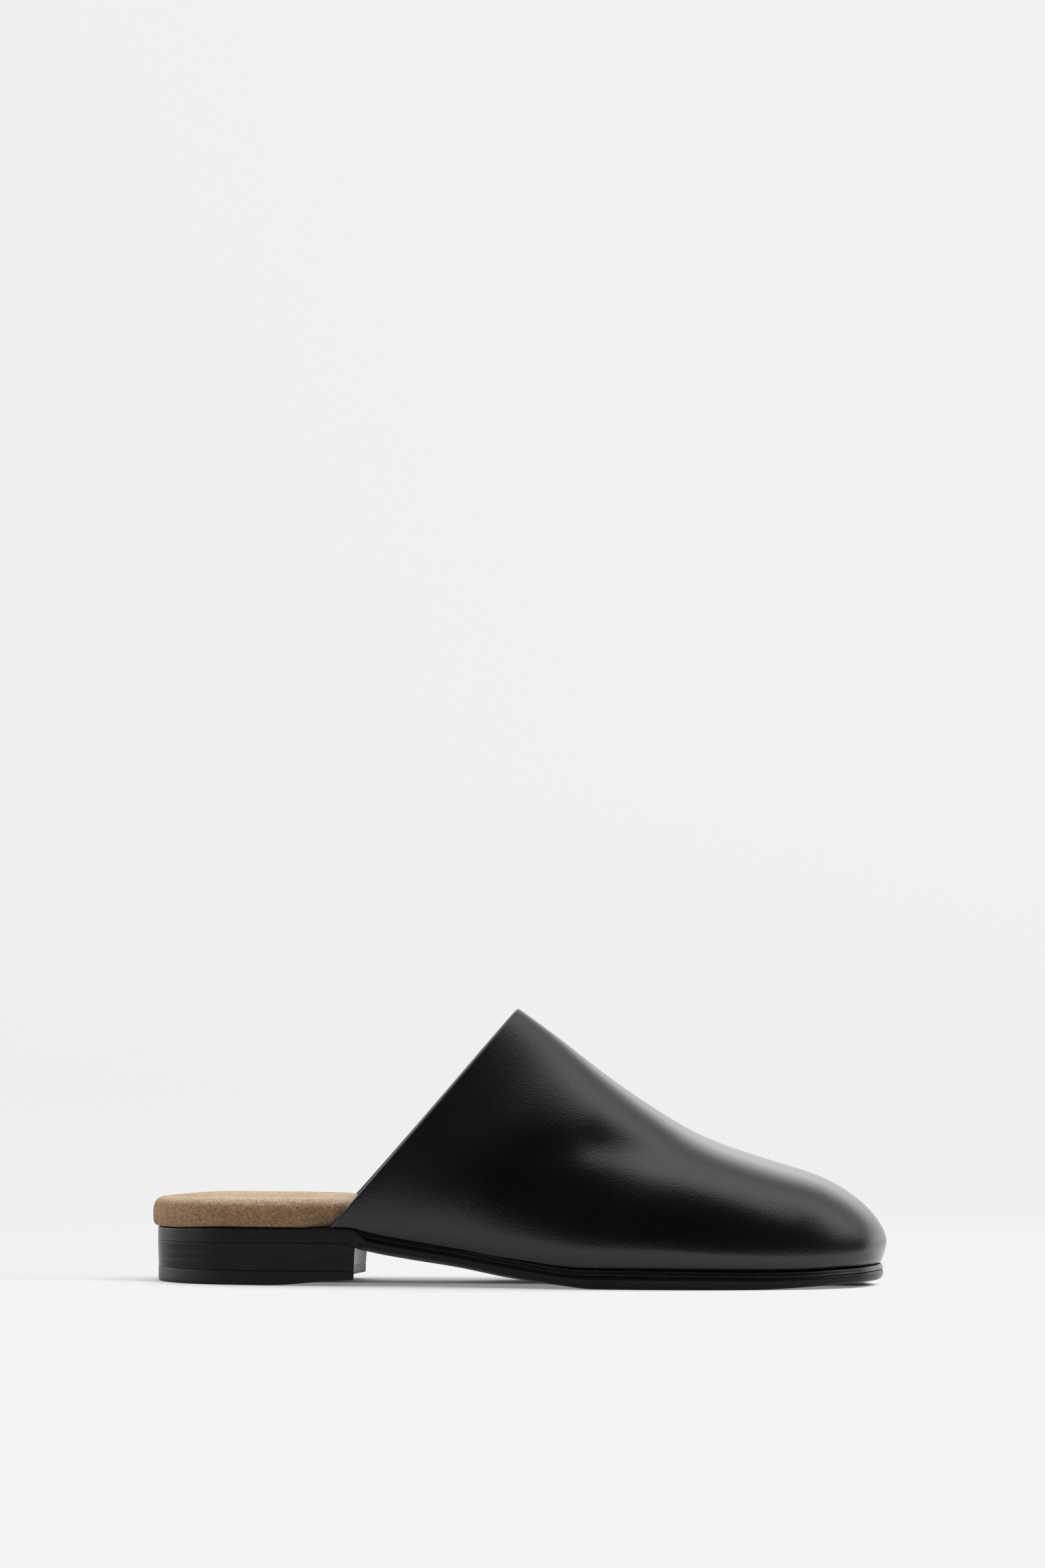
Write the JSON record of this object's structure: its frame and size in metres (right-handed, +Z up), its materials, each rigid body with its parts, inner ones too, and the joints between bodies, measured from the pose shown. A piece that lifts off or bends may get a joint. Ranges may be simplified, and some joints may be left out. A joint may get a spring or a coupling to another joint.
{
  "type": "mule shoe",
  "caption": "Backless leather mule with a slanting collar, padded suede footbed, thin welted sole and low stacked heel.",
  "frame": {"origin": "on the floor, under the middle of the shoe's bounding box", "axes": "+X from the heel to the toe, +Y to the medial side, +Z up"},
  "size_m": [0.262, 0.0888, 0.0977],
  "materials": {
    "upper_leather": "smooth black calf, semi-gloss, fine grain",
    "footbed_suede": "tan suede with a short nap",
    "welt_leather": "black dyed edge, satin",
    "sole_leather": "black dyed edge, waxed",
    "heel_leather": "black stacked lifts, satin",
    "top_piece_rubber": "matt black rubber"
  },
  "bodies": {
    "root": {"upper": "upper_leather", "footbed": "footbed_suede", "welt": "welt_leather", "outsole": "sole_leather", "heel": "heel_leather", "top_piece": "top_piece_rubber"}
  },
  "joints": []
}
